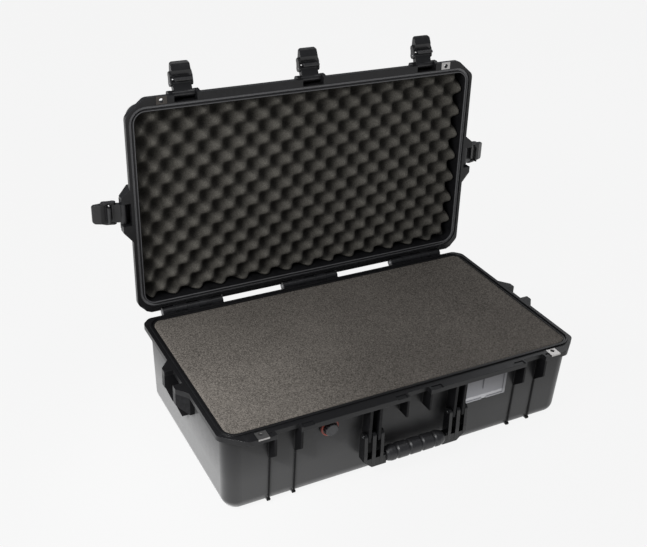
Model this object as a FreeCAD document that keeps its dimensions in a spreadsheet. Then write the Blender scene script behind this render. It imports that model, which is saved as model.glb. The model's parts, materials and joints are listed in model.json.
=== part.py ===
import FreeCAD, Part
import os
import re

import Sketcher

# Hard equipment case with foam, lid standing open. Millimetres and degrees.
# +X runs along the case to the right, -Y is the front with the carrying handle, +Z is up.
# The origin is the middle of the flat underside. The rim plane is base_height above it.

Vector = FreeCAD.Vector
Rotation = FreeCAD.Rotation
Placement = FreeCAD.Placement

DIMENSIONS = {
    # clearances
    "gap": 0.3,
    "running": 0.05,
    # base shell: half sizes at the rim, and the step in to the underside
    "base_height": 158,
    "inner_x": 330,
    "inner_y": 178,
    "wall": 5.5,
    "floor": 5,
    "draft_inset": 4,
    "corner": 26,
    "bottom_edge": 22,
    # rim flange shared by base and lid
    "rim_x": 344,
    "rim_front": 205,
    "lid_front": 200.5,
    "lid_corner_x": 310,
    "rim_round": 14,
    "rim_back": 191.5,
    "rim_corner_x": 306,
    "rim_corner_y": 172,
    "back_corner_x": 330,
    "back_corner_y": 177,
    "rim_height": 9,
    "relief_depth": 1.5,
    "relief_end": 44,
    "relief_width": 9,
    # sealing tongue and groove
    "tongue_x": 334.5,
    "tongue_y": 182.5,
    "tongue_width": 3,
    "tongue_height": 2.5,
    "groove_side": 1,
    "groove_depth": 5,
    "seal_height": 2.2,
    "seal_side": 0.4,
    # lid shell, measured up from the rim plane of the closed case
    "lid_gap": 0.4,
    "lid_inner_top": 50,
    "lid_top": 54.6,
    "lid_draft_inset": 2.9,
    "lid_edge": 18,
    "lid_rim_top": 10.4,
    "lid_beam": 8,
    "lid_back": 197,
    "lip_near": 60,
    "lip_corner_x": 320,
    "lid_open": 92,
    "top_rib_length": 520,
    "top_rib_width": 15,
    "top_rib_height": 1.5,
    "top_rib_pitch": 84,
    "dash_length": 10,
    "dash_pitch": 17.2,
    "dash_depth": 1.6,
    "dash_inner": 187.6,
    "dash_outer": 189.8,
    # hinges
    "hinge_y": 201.4,
    "hinge_rise": 0.2,
    "hinge_spacing": 242,
    "knuckle_radius": 7.5,
    "knuckle_pitch": 23.5,
    "knuckle_width": 23,
    "hinge_pin_radius": 3,
    "hinge_pin_length": 118,
    "hinge_arm": 11,
    "heel_start": 4,
    "heel_end": 9,
    "heel_rise": 9.3,
    # catches: s runs along the rim, u outwards, w up from the rim plane
    "latch_spacing": 238,
    "side_latch_offset": 157,
    "notch_half": 20.5,
    "plate_thickness": 4,
    "plate_drop": 42,
    "plate_foot": 64,
    "catch_reach": 195,
    "catch_height": 8,
    "rib_half": 1.5,
    "rib_reach": 184,
    "rib_reach_low": 181.6,
    "rib_bottom": 8,
    "rib_foot_half": 3,
    "rib_foot_height": 4,
    "wing_root_half": 53.5,
    "lid_wing_front_half": 46,
    "wing_tip_half": 32.5,
    "wing_root": 186,
    "wing_tip": 203,
    "wing_drop": 43,
    "wing_rise": 26,
    "wing_skin": 3.5,
    # latches
    "ear_thickness": 7,
    "notch_back": 188,
    "notch_top": 24,
    "ear_radius": 6.5,
    "pivot_out": 197,
    "pivot_up": 16,
    "pivot_pin_radius": 2.5,
    "lever_out": 205.2,
    "lever_down": 0.5,
    "lever_pin_radius": 2,
    "arm_half": 16.5,
    "arm_boss": 6.3,
    "lug_half": 20.2,
    "cheek_half": 16.9,
    "cheek_radius": 6,
    "paddle_half": 17,
    "paddle_face": 215,
    "tooth_half": 15,
    "tooth_tip": 190,
    "tooth_top": 8.3,
    "tooth_bottom": 13,
    "paddle_tip": 34.5,
    "tip_round": 4.5,
    "housing_back": 203,
    "pocket_back": 205.5,
    "button_half": 7.5,
    "button_flange": 8.8,
    "button_top": 12,
    "button_bottom": 20.5,
    "button_back": 208.5,
    "button_step": 210.7,
    "button_proud": 1,
    "spring_radius": 2.1,
    "spring_wire": 0.5,
    "spring_length": 4.4,
    "spring_bore": 3,
    "latch_open": 86,
    # padlock plates
    "padlock_x": 281,
    "padlock_y": 193.5,
    "padlock_hole": 4,
    "plate_in_x": 271,
    "plate_out_x": 290,
    "plate_in_y": 187.5,
    "padlock_plate": 3,
    # carrying handle
    "handle_y": 197,
    "handle_z": 94,
    "fin_reach": 205,
    "fin_bottom": 81,
    "fin_inner_near": 71,
    "fin_inner_far": 76,
    "fin_outer_near": 89,
    "fin_outer_far": 94,
    "prong_radius": 8,
    "prong_tip": 30,
    "slant_rise": 20,
    "bar_z": 46,
    "bar_y": 199,
    "bar_radius": 7,
    "grip_radius": 14,
    "grip_half": 57,
    "grip_groove": 1.8,
    "grip_pitch": 24.6,
    "handle_pin_radius": 3,
    # pressure valve
    "valve_x": 158,
    "valve_z": 127,
    "valve_bore": 10,
    "valve_flange": 16,
    "valve_seat": 182,
    "valve_face": 188,
    "valve_ring_inner": 12.9,
    "valve_ring_face": 189.6,
    "valve_knob": 11.5,
    "valve_knob_face": 197,
    "valve_spindle": 4,
    # card holder
    "card_low_x": 102,
    "card_high_x": 191,
    "card_low_z": 91.5,
    "card_high_z": 142,
    "card_seat": 183.8,
    "card_face": 188,
    "card_edge": 5,
    "card_tab": 4.5,
    # foam
    "pad_top": 17,
    "pluck_split": 87,
    "foam_drop": 1,
    "lid_foam_face": 8,
}

doc = FreeCAD.newDocument("hard_case")
sheet = doc.addObject("Spreadsheet::Sheet", "dims")
for row, (alias, size) in enumerate(DIMENSIONS.items(), 1):
    sheet.set(f"A{row}", alias)
    sheet.set(f"B{row}", str(size))
    sheet.setAlias(f"B{row}", alias)
doc.recompute()

AXES = {"x": Vector(1, 0, 0), "y": Vector(0, 1, 0), "z": Vector(0, 0, 1)}
SKETCH_TURN = {
    "xy": Rotation(),
    "xz": Rotation(Vector(1, 0, 0), 90),
    "yz": Rotation(Vector(1, 1, 1), 120),
}
SKETCH_AXIS = {"xy": "z", "xz": "y", "yz": "x"}
nodes = {}


def bound(text):
    """An expression over the sheet's aliases, as setExpression wants it."""
    return re.sub(r"[a-z_]+", lambda word: f"dims.{word.group(0)}", str(text))


def mm(text):
    """The value of an expression over the sheet's aliases."""
    return float(sheet.evalExpression(str(text)))


def box(name, low, high):
    solid = doc.addObject("Part::Box", name)
    for axis, side, start, end in zip("xyz", ("Length", "Width", "Height"), low, high):
        solid.setExpression(side, bound(f"({end}) - ({start})"))
        solid.setExpression(f"Placement.Base.{axis}", bound(start))
    return solid


def mirrored_box(name, half_low, half_high, y_span, z_span):
    """Two boxes at plus and minus the same distance from the YZ plane."""
    right = box(f"{name}_right", (half_low, y_span[0], z_span[0]), (half_high, y_span[1], z_span[1]))
    left = box(
        f"{name}_left", (f"-({half_high})", y_span[0], z_span[0]), (f"-({half_low})", y_span[1], z_span[1]),
    )
    return [right, left]


def cylinder(name, axis, centre, radius, start, end):
    """A cylinder along one axis; centre gives the two other coordinates in order."""
    solid = doc.addObject("Part::Cylinder", name)
    solid.Placement = Placement(Vector(), Rotation(AXES["z"], AXES[axis]))
    solid.setExpression("Radius", bound(radius))
    solid.setExpression("Height", bound(f"({end}) - ({start})"))
    across = [letter for letter in "xyz" if letter != axis]
    for letter, place in zip([axis] + across, [start] + list(centre)):
        solid.setExpression(f"Placement.Base.{letter}", bound(place))
    return solid


def polygon(sketch, points):
    """A closed outline whose corners are all bound to the sheet."""
    spots = [(mm(a), mm(b)) for a, b in points]
    count = len(points)
    for i, spot in enumerate(spots):
        end = spots[(i + 1) % count]
        sketch.addGeometry(Part.LineSegment(Vector(*spot, 0), Vector(*end, 0)), False)
    for i in range(count):
        sketch.addConstraint(Sketcher.Constraint("Coincident", i, 2, (i + 1) % count, 1))
    for i, (spot, texts) in enumerate(zip(spots, points)):
        for kind, number, text in zip(("DistanceX", "DistanceY"), spot, texts):
            index = sketch.addConstraint(Sketcher.Constraint(kind, -1, 1, i, 1, number))
            sketch.setExpression(f"Constraints[{index}]", bound(text))


def prism(name, plane, points, start, end):
    """A straight-sided solid: an outline in a plane, drawn out along the plane's normal."""
    axis = SKETCH_AXIS[plane]
    sketch = doc.addObject("Sketcher::SketchObject", f"{name}_outline")
    sketch.Placement = Placement(Vector(), SKETCH_TURN[plane])
    polygon(sketch, points)
    sketch.setExpression(f"Placement.Base.{axis}", bound(start))
    solid = doc.addObject("Part::Extrusion", name)
    solid.Base = sketch
    solid.DirMode = "Custom"
    solid.Dir = AXES[axis]
    solid.Solid = True
    solid.setExpression("LengthFwd", bound(f"({end}) - ({start})"))
    return solid


def profile(name, points, start, end):
    """A prism along X whose outline is given as outward distance from y = 0 and height."""
    return prism(name, "yz", [(f"-({out})", up) for out, up in points], start, end)


def mirrored_profile(name, points, near, far):
    right = profile(f"{name}_right", points, near, far)
    left = profile(f"{name}_left", points, f"-({far})", f"-({near})")
    return [right, left]


def outward_cylinder(name, out, up, radius, start, end):
    """A cylinder along X, centred at an outward distance and a height."""
    return cylinder(name, "x", (f"-({out})", up), radius, start, end)


def fuse(name, shapes):
    joined = doc.addObject("Part::MultiFuse", name)
    joined.Shapes = shapes
    joined.Refine = True
    return joined


def cut(name, base, tools):
    result = doc.addObject("Part::Cut", name)
    result.Base = base
    result.Tool = tools[0] if len(tools) == 1 else fuse(f"{name}_tools", tools)
    result.Refine = True
    return result


def common(name, first, second):
    result = doc.addObject("Part::Common", name)
    result.Base = first
    result.Tool = second
    return result


def rounded(name, base, radius, chosen):
    """Fillets of one radius on the edges that chosen(edge) picks."""
    doc.recompute()
    result = doc.addObject("Part::Fillet", name)
    result.Base = base
    picked = [i + 1 for i, edge in enumerate(base.Shape.Edges) if chosen(edge)]
    result.Edges = [(i, mm(radius), mm(radius)) for i in picked]
    doc.recompute()
    return result


def rises(edge):
    first, last = edge.Vertexes[0].Point, edge.Vertexes[-1].Point
    return abs(last.z - first.z) > 1


def level(text):
    """Picks the edges that lie at one height."""
    height = mm(text)
    return lambda edge: all(abs(vertex.Point.z - height) < 0.01 for vertex in edge.Vertexes)


def tapered_box(name, low_half, high_half, low, high, corner, edge=None, edge_level=None):
    """A box with drafted sides, round upright corners and, if asked, one round level edge."""
    wedge = doc.addObject("Part::Wedge", f"{name}_wedge")
    wedge.Placement = Placement(Vector(), Rotation(AXES["x"], 90))
    for letter, low_size, high_size in zip("XZ", low_half, high_half):
        wedge.setExpression(f"{letter}min", bound(f"-({low_size})"))
        wedge.setExpression(f"{letter}max", bound(low_size))
        wedge.setExpression(f"{letter}2min", bound(f"-({high_size})").replace(f"{letter}2", letter))
        wedge.setExpression(f"{letter}2max", bound(high_size))
    wedge.setExpression("Ymin", bound(low))
    wedge.setExpression("Ymax", bound(high))
    solid = rounded(f"{name}_corners", wedge, corner, rises)
    if edge is None:
        return solid
    return rounded(f"{name}_edge", solid, edge, level(edge_level))


def turned(name, points, placement):
    """A piece turned about its own axis: points are distance along it and radius."""
    body = doc.addObject("PartDesign::Body", name)
    sketch = body.newObject("Sketcher::SketchObject", f"{name}_outline")
    plane = next(item for item in body.Origin.OriginFeatures if item.Role == "XY_Plane")
    sketch.AttachmentSupport = [(plane, "")]
    sketch.MapMode = "FlatFace"
    polygon(sketch, points)
    turn = body.newObject("PartDesign::Revolution", f"{name}_turn")
    turn.Profile = sketch
    turn.ReferenceAxis = (sketch, ["H_Axis"])
    turn.Angle = 360
    body.Placement = placement
    doc.recompute()
    return body


def pin_outline(radius, length):
    """A plain pin with small chamfers on both ends."""
    return [
        ("0", "0"), (length, "0"), (length, f"{radius} - 0.4"),
        (f"{length} - 0.4", radius), ("0.4", radius), ("0", f"{radius} - 0.4"),
    ]


def copy(name, source, placement):
    """The same design at another place."""
    placed = doc.addObject("Part::Compound", name)
    placed.Links = [source]
    placed.Placement = placement
    return placed


def node(solid, name, placement=None):
    """Names a finished sub-part and, if given, puts it where it stands."""
    if placement is not None:
        solid.Placement = placement
    solid.Label = name
    nodes[name] = solid
    return solid


# ------------------------------------------------------------------ places
BASE_HEIGHT = mm("base_height")
LID_POSE = Placement(
    Vector(0, 0, BASE_HEIGHT),
    Rotation(AXES["x"], -mm("lid_open")),
    Vector(0, mm("hinge_y"), mm("hinge_rise")),
)
LATCH_SWING = Placement(
    Vector(),
    Rotation(AXES["x"], -mm("latch_open")),
    Vector(0, -mm("pivot_out"), mm("pivot_up")),
)
# Each latch site turns the catch frame (x along the rim, -y outwards, z up from the rim plane).
SITES = {
    "front_left": Placement(Vector(-mm("latch_spacing"), 0, 0), Rotation()),
    "front_centre": Placement(Vector(), Rotation()),
    "front_right": Placement(Vector(mm("latch_spacing"), 0, 0), Rotation()),
    "side_left": Placement(Vector(-mm("side_latch_offset"), 0, 0), Rotation(AXES["z"], -90)),
    "side_right": Placement(Vector(mm("side_latch_offset"), 0, 0), Rotation(AXES["z"], 90)),
}
ON_RIM = Placement(Vector(0, 0, BASE_HEIGHT), Rotation())


# ------------------------------------------------------------------ shapes shared by base and lid
def rim_slab(name, front, front_x, low, high):
    """The flange's outline: deep at the front, with cut and rounded corners."""
    outline = [
        (front_x, f"-{front}"), ("rim_x", "-rim_corner_y"),
        ("rim_x", "back_corner_y"), ("back_corner_x", "rim_back"),
        ("-back_corner_x", "rim_back"), ("-rim_x", "back_corner_y"),
        ("-rim_x", "-rim_corner_y"), (f"-{front_x}", f"-{front}"),
    ]
    return rounded(f"{name}_rounded", prism(name, "xy", outline, low, high), "rim_round", rises)


def ring(name, inside, outside, low, high, corner):
    """A rounded rectangular ring between two half sizes in x and y."""
    outer = tapered_box(f"{name}_outer", outside, outside, low, high, corner)
    hole = tapered_box(
        f"{name}_hole", inside, inside, f"({low}) - 1", f"({high}) + 1", f"({corner}) - 3"
    )
    return cut(f"{name}_ring", outer, [hole])


def wing(name, low, high, skin, side_points, halves):
    """Side bracket round a side latch: a hollow trapezoid that narrows outwards.

    halves gives its half width at the root towards the catch frame's +x and -x ends.
    """
    plus, minus = halves
    outline = [
        (plus, "-178"), (plus, "-wing_root"), ("wing_tip_half", "-wing_tip"),
        ("-wing_tip_half", "-wing_tip"), (f"-{minus}", "-wing_root"), (f"-{minus}", "-178"),
    ]
    block = prism(f"{name}_block", "xy", outline, low, high)
    side = profile(f"{name}_side", side_points, "-wing_root_half - 1", "wing_root_half + 1")
    shaped = common(f"{name}_shaped", block, side)
    notch_wall = "notch_half + plate_thickness"
    hollows = []
    for hand, sign, half in (("right", "", plus), ("left", "-", minus)):
        hollow = [
            (f"{sign}({notch_wall})", "-183"),
            (f"{sign}({notch_wall})", "-wing_tip + wing_skin"),
            (f"{sign}(wing_tip_half - wing_skin / 2)", "-wing_tip + wing_skin"),
            (f"{sign}({half} - wing_skin * 1.5)", "-wing_root + 1"),
            (f"{sign}({half} - wing_skin * 1.5)", "-183"),
        ]
        hollows.append(prism(f"{name}_hollow_{hand}", "xy", hollow, *skin))
    notch = box(
        f"{name}_notch", ("-notch_half", "-210", f"({low}) - 1"), ("notch_half", "-179", f"({high}) + 1"),
    )
    return cut(f"{name}_wing", shaped, hollows + [notch])


def knuckles(name, offsets, arm):
    """Hinge knuckles at offsets of the knuckle pitch, each with its arm, for the three hinges."""
    pieces = []
    for hinge in (-1, 0, 1):
        for offset in offsets:
            middle = f"{hinge} * hinge_spacing + {offset} * knuckle_pitch"
            start = f"{middle} - knuckle_width / 2"
            end = f"{middle} + knuckle_width / 2"
            tag = f"{name}_{hinge + 1}_{offset + 2}".replace(".", "_")
            pieces.append(
                cylinder(f"{tag}_barrel", "x", ("hinge_y", "hinge_rise"), "knuckle_radius", start, end),
            )
            for index, outline in enumerate(arm):
                pieces.append(prism(f"{tag}_arm_{index}", "yz", outline, start, end))
    return pieces


def hinge_bores(name, rise):
    return [
        cylinder(
            f"{name}_{hinge + 1}", "x", ("hinge_y", rise), "hinge_pin_radius + running",
            f"{hinge} * hinge_spacing - 65", f"{hinge} * hinge_spacing + 65",
        )
        for hinge in (-1, 0, 1)
    ]


# ------------------------------------------------------------------ base shell
def catch_plates(name, foot):
    """The two plates that flank a latch on the base, with the flange stub they hang from."""
    outline = [("180", "-0.05"), ("rim_front", "-0.05"), ("rim_front", "-plate_drop"), ("180", foot)]
    return mirrored_profile(name, outline, "notch_half", "notch_half + plate_thickness")


def base_ribs():
    """Upright ribs down the front wall below each outer latch, with a small foot."""
    pieces = []
    outline = [
        ("176", "base_height - plate_foot + 8"), ("rib_reach", "base_height - plate_foot + 8"),
        ("rib_reach_low", "rib_bottom"), ("172", "rib_bottom"),
    ]
    for side in (-1, 1):
        for edge in (-1, 1):
            middle = f"{side} * latch_spacing + {edge} * (notch_half + plate_thickness / 2)"
            tag = f"rib_{side + 1}_{edge + 1}"
            pieces.append(profile(tag, outline, f"{middle} - rib_half", f"{middle} + rib_half"))
            pieces.append(box(
                f"{tag}_foot",
                (f"{middle} - rib_foot_half", "-rib_reach_low - 0.8", "rib_bottom"),
                (f"{middle} + rib_foot_half", "-172", "rib_bottom + rib_foot_height"),
            ))
    return pieces


def handle_fins():
    """Four fins under the front flange that carry the handle pins, bored for them."""
    outline = [
        ("178", "base_height - 1"), ("fin_reach", "base_height - 1"), ("fin_reach", "fin_bottom + 5"),
        ("handle_y", "fin_bottom"), ("178", "fin_bottom - 6"),
    ]
    inner = mirrored_profile("fin_inner", outline, "fin_inner_near", "fin_inner_far")
    outer = mirrored_profile("fin_outer", outline, "fin_outer_near", "fin_outer_far")
    return inner + outer


def build_base_shell():
    outer = tapered_box(
        "base_outer",
        ("inner_x + wall - draft_inset", "inner_y + wall - draft_inset"),
        ("inner_x + wall", "inner_y + wall"),
        "0", "base_height", "corner", "bottom_edge", "0",
    )
    flange = rim_slab("base_flange", "rim_front", "rim_corner_x", "base_height - rim_height", "base_height")
    tongue = ring(
        "tongue", ("tongue_x", "tongue_y"), ("tongue_x + tongue_width", "tongue_y + tongue_width"),
        "base_height - 1", "base_height + tongue_height", "corner + 3",
    )
    long_plates = fuse("long_plates", catch_plates("long_plate", "-plate_foot"))
    short_plates = fuse("short_plates", catch_plates("short_plate", "-plate_drop"))
    base_wing = wing(
        "base_wing", "-wing_drop", "-0.05", ("-wing_drop - 1", "-rim_height + 4"),
        [
            ("177", "-0.05"), ("wing_tip", "-0.05"), ("wing_tip", "-wing_drop + 11"),
            ("wing_root", "-wing_drop"), ("177", "-wing_drop"),
        ],
        ("wing_root_half", "wing_root_half"),
    )
    side_plate = [
        ("178", "-0.05"), ("wing_tip", "-0.05"), ("wing_tip - 1", "-wing_drop + 11"),
        ("wing_root + 4", "-plate_foot"), ("178", "-plate_foot"),
    ]
    side_plates = mirrored_profile("side_plate", side_plate, "notch_half", "notch_half + plate_thickness")
    base_wing = fuse("base_wing_plated", [base_wing] + side_plates)
    solids = [outer, flange, tongue]
    for site, plates in (
        ("front_left", long_plates), ("front_centre", short_plates), ("front_right", long_plates),
    ):
        solids.append(copy(f"plates_{site}", plates, ON_RIM.multiply(SITES[site])))
    for site in ("side_left", "side_right"):
        solids.append(copy(f"base_wing_{site}", base_wing, ON_RIM.multiply(SITES[site])))
    solids += base_ribs()
    solids += handle_fins()
    solids += knuckle_set_base()
    seat = box(
        "card_seat", ("card_low_x - 2", "-card_seat", "card_low_z - 2"),
        ("card_high_x + 2", "-176", "card_high_z + 2"),
    )
    solids.append(seat)
    blank = fuse("base_blank", solids)
    cavity = tapered_box(
        "base_cavity",
        ("inner_x - draft_inset", "inner_y - draft_inset"), ("inner_x", "inner_y"),
        "floor", "base_height + tongue_height + 1", "corner - wall", "bottom_edge - wall", "floor",
    )
    tools = [cavity]
    notch = [
        box(
            "notch_face", ("-notch_half", "-catch_reach - 20", "-rim_height - 1"),
            ("notch_half", "-catch_reach", "1"),
        ),
        box(
            "notch_under", ("-notch_half", "-catch_reach - 1", "-rim_height - 1"),
            ("notch_half", "-inner_y - wall - 1", "-catch_height"),
        ),
    ]
    notch += mirrored_box(
        "relief", "notch_half + plate_thickness", "relief_end",
        ("-rim_front - 1", "-rim_front + relief_width"),
        ("-relief_depth", "1"),
    )
    notch_cutter = fuse("notch_cutter", notch)
    for site in ("front_left", "front_centre", "front_right"):
        tools.append(copy(f"notch_{site}", notch_cutter, ON_RIM.multiply(SITES[site])))
    side_notch = box(
        "side_notch", ("-notch_half", "-catch_reach - 20", "-rim_height - 40"),
        ("notch_half", "-catch_reach", "1"),
    )
    for site in ("side_left", "side_right"):
        tools.append(copy(f"notch_{site}", side_notch, ON_RIM.multiply(SITES[site])))
    for hand, sign in (("left", "-"), ("right", "")):
        low, high = sorted((f"{sign}(plate_in_x - gap)", f"{sign}(plate_out_x + gap)"), key=mm)
        tools.append(box(
            f"padlock_recess_{hand}", (low, "-rim_front - 1", "base_height - padlock_plate"),
            (high, "-plate_in_y + gap", "base_height + 1"),
        ))
        tools.append(cylinder(
            f"padlock_hole_{hand}", "z", (f"{sign}padlock_x", "-padlock_y"), "padlock_hole + 1",
            "base_height - rim_height - 1", "base_height",
        ))
    tools += hinge_bores("base_hinge_bore", "base_height + hinge_rise")
    tools.append(outward_cylinder(
        "handle_bore", "handle_y", "handle_z", "handle_pin_radius + running", "-fin_outer_far - 1",
        "fin_outer_far + 1",
    ))
    tools.append(cylinder("valve_hole", "y", ("-valve_x", "valve_z"), "valve_bore", "-200", "-170"))
    return cut("base_cut", blank, tools)


def knuckle_set_base():
    """Base knuckles: each has an arm from the flange and a heel that stops the open lid."""
    arm = [
        ("185", "0"), ("hinge_y", "0"), ("hinge_y + 7.1", "-3"), ("hinge_y + 2", "-hinge_arm"),
        ("185", "-hinge_arm - 3"),
    ]
    heel = [
        ("hinge_y + heel_start", "hinge_rise + heel_rise"), ("hinge_y + heel_end", "hinge_rise + heel_rise"),
        ("hinge_y + heel_end", "-3"), ("hinge_y + 2", "-hinge_arm"), ("hinge_y - 2", "-hinge_arm"),
        ("hinge_y - 2", "-5"), ("hinge_y + heel_start", "-5"),
    ]
    pieces = fuse("base_knuckles", knuckles("base_knuckle", (-2, 0, 2), [arm, heel]))
    return [copy("base_knuckles_on_rim", pieces, ON_RIM)]


# ------------------------------------------------------------------ lid shell, in the rim plane's frame
def lid_ears():
    """Two ears that carry a latch's pivot pin, with a web between them."""
    outline = [
        ("180", "lid_gap"), ("lid_front - 1.5", "lid_gap"), ("pivot_out + ear_radius", "pivot_up - 5"),
        ("pivot_out", "pivot_up + ear_radius"), ("180", "pivot_up + ear_radius + 7.5"),
    ]
    ears = mirrored_profile("ear", outline, "notch_half", "notch_half + ear_thickness")
    for hand, start, end in (
        ("right", "notch_half", "notch_half + ear_thickness"),
        ("left", "-notch_half - ear_thickness", "-notch_half"),
    ):
        ears.append(outward_cylinder(f"ear_boss_{hand}", "pivot_out", "pivot_up", "ear_radius", start, end))
    web = [("175", "notch_top"), ("195", "notch_top"), ("195", "notch_top + 3"), ("180", "notch_top + 9"),
           ("175", "notch_top + 9")]
    ears.append(profile("ear_web", web, "-notch_half - 1", "notch_half + 1"))
    return fuse("ears", ears)


def lid_back_lips():
    """The flange's deeper back edge, between the hinges and out to the corners."""
    middle = [
        ("lip_near", "185"), ("lip_near", "lid_back"), ("hinge_spacing - lip_near", "lid_back"),
        ("hinge_spacing - lip_near", "185"),
    ]
    outer = [
        ("hinge_spacing + lip_near", "180"), ("hinge_spacing + lip_near", "lid_back"),
        ("lip_corner_x", "lid_back"), ("lip_corner_x + 9", "lid_back - 4"),
        ("lip_corner_x + 17", "lid_back - 13"), ("lip_corner_x", "180"),
    ]
    return [
        prism(f"lip_{tag}_{hand}", "xy", [(f"{sign}({x})", y) for x, y in outline], "lid_gap", "lid_rim_top")
        for tag, outline in (("middle", middle), ("outer", outer))
        for hand, sign in (("right", ""), ("left", "-"))
    ]


def build_lid_shell():
    outer = tapered_box(
        "lid_outer", ("inner_x + wall", "inner_y + wall"),
        ("inner_x + wall - lid_draft_inset", "inner_y + wall - lid_draft_inset"),
        "lid_gap", "lid_top", "corner", "lid_edge", "lid_top",
    )
    solids = [outer, rim_slab("lid_flange", "lid_front", "lid_corner_x", "lid_gap", "lid_rim_top")]
    beam = [
        ("180", "lid_gap"), ("lid_front - 2", "lid_gap"), ("lid_front", "lid_gap + 2.6"),
        ("lid_front", "lid_beam"),
        ("lid_front - 3", "lid_beam + 3.4"), ("180", "lid_beam + 11"),
    ]
    solids.append(profile("lid_beam_bar", beam, "-latch_spacing", "latch_spacing"))
    solids += lid_back_lips()
    ears = lid_ears()
    side_points = [
        ("177", "lid_gap"), ("wing_tip", "lid_gap"), ("wing_tip", "wing_rise - 10"),
        ("wing_root", "wing_rise"), ("177", "wing_rise"),
    ]
    for site, place in SITES.items():
        solids.append(copy(f"ears_{site}", ears, place))
    for site, halves in (
        ("side_left", ("lid_wing_front_half", "wing_root_half")),
        ("side_right", ("wing_root_half", "lid_wing_front_half")),
    ):
        lid_wing = wing(
            f"lid_wing_{site}", "lid_gap", "wing_rise", ("lid_gap + 4", "wing_rise + 1"), side_points, halves,
        )
        solids.append(copy(f"lid_wing_{site}_placed", lid_wing, SITES[site]))
    arm = [
        ("185", "lid_gap"), ("hinge_y", "lid_gap"), ("hinge_y + 7.1", "3"), ("hinge_y + 1.6", "lid_rim_top"),
           ("185", "lid_rim_top + 3")]
    solids += knuckles("lid_knuckle", (-1, 1), [arm])
    for index in (-1.5, -0.5, 0.5, 1.5):
        solids.append(box(
            f"top_rib_{int(index * 2 + 3)}",
            ("-top_rib_length / 2", f"{index} * top_rib_pitch - top_rib_width / 2", "lid_top - 2"),
            (
                "top_rib_length / 2", f"{index} * top_rib_pitch + top_rib_width / 2",
                "lid_top + top_rib_height",
            ),
        ))
    blank = fuse("lid_blank", solids)
    cavity = tapered_box(
        "lid_cavity", ("inner_x", "inner_y"), ("inner_x - lid_draft_inset", "inner_y - lid_draft_inset"),
        "lid_gap - 1", "lid_inner_top", "corner - wall", "lid_edge - wall", "lid_inner_top",
    )
    groove = ring(
        "groove", ("tongue_x - groove_side", "tongue_y - groove_side"),
        ("tongue_x + tongue_width + groove_side", "tongue_y + tongue_width + groove_side"),
        "lid_gap - 1", "lid_gap + groove_depth", "corner + 4",
    )
    tools = [cavity, groove]
    notch = fuse("lid_notch", [
        box(
            "lid_notch_face", ("-notch_half", "-240", "lid_gap - 1"),
            ("notch_half", "-notch_back", "notch_top"),
        ),
        outward_cylinder(
            "ear_bore", "pivot_out", "pivot_up", "pivot_pin_radius + running",
            "-notch_half - ear_thickness - 1",
            "notch_half + ear_thickness + 1",
        ),
    ])
    for site, place in SITES.items():
        tools.append(copy(f"lid_notch_{site}", notch, place))
    for hand, sign in (("left", "-"), ("right", "")):
        low, high = sorted((f"{sign}(plate_in_x - gap)", f"{sign}(plate_out_x + gap)"), key=mm)
        tools.append(box(
            f"lid_padlock_recess_{hand}", (low, "-rim_front - 1", "lid_gap - 1"),
            (high, "-plate_in_y + gap", "lid_gap + padlock_plate"),
        ))
        tools.append(cylinder(
            f"lid_padlock_hole_{hand}", "z", (f"{sign}padlock_x", "-padlock_y"), "padlock_hole + 1",
            "lid_gap",
            "lid_rim_top + 12",
        ))
    tools += hinge_bores("lid_hinge_bore", "hinge_rise")
    tools += rim_dashes()
    return cut("lid_cut", blank, tools)


def rim_dashes():
    """Short blind slots along the lid's rim beside the hinges."""
    count = int(2 * (mm("back_corner_x") - 20) / mm("dash_pitch")) // 2
    return [
        box(
            f"dash_{index + count}",
            (f"{index} * dash_pitch - dash_length / 2", "dash_inner", "lid_gap - 1"),
            (f"{index} * dash_pitch + dash_length / 2", "dash_outer", "lid_gap + dash_depth"),
        )
        for index in range(-count, count + 1)
    ]


node(build_base_shell(), "base_shell")
node(build_lid_shell(), "lid_shell", LID_POSE)


# ------------------------------------------------------------------ seal, foam
def build_seal():
    inside = ("tongue_x - groove_side + seal_side", "tongue_y - groove_side + seal_side")
    outside = (
        "tongue_x + tongue_width + groove_side - seal_side",
        "tongue_y + tongue_width + groove_side - seal_side",
    )
    top = "lid_gap + groove_depth"
    return ring("seal", inside, outside, f"{top} - seal_height", top, "corner + 3.6")


node(build_seal(), "lid_seal", LID_POSE)


def half_at(step):
    """Half sizes of the base foam, step millimetres inside the cavity at the rim."""
    return (f"inner_x - {step}", f"inner_y - {step}")


node(tapered_box("pad", half_at(21), half_at(21), "floor + gap", "pad_top", "corner - wall"), "bottom_pad")
node(
    tapered_box("lower", half_at(4.8), half_at(2.6), "pad_top", "pluck_split", "corner - wall"),
    "pluck_foam_lower",
)
node(
    tapered_box(
        "upper", half_at(2.6), half_at(0.8), "pluck_split", "base_height - foam_drop", "corner - wall",
    ),
    "pluck_foam_upper",
)
lid_foam = fuse("lid_foam_parts", [
    tapered_box(
        "lid_foam_front", half_at(1.2), half_at(2.8), "lid_foam_face", "lid_inner_top - 13", "corner - wall",
    ),
    tapered_box(
        "lid_foam_back", half_at(15.8), half_at(15.8), "lid_inner_top - 13", "lid_inner_top - 0.5",
        "corner - wall",
    ),
])
node(lid_foam, "lid_foam", LID_POSE)


# ------------------------------------------------------------------ hinge pins, padlock plates
HINGE_PIN = pin_outline("hinge_pin_radius", "hinge_pin_length")
for hand, side in (("left", -1), ("centre", 0), ("right", 1)):
    start = Vector(
        side * mm("hinge_spacing") - mm("hinge_pin_length") / 2, mm("hinge_y"),
        BASE_HEIGHT + mm("hinge_rise"),
    )
    node(turned(f"hinge_pin_body_{hand}", HINGE_PIN, Placement(start, Rotation())), f"hinge_pin_{hand}")


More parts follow.
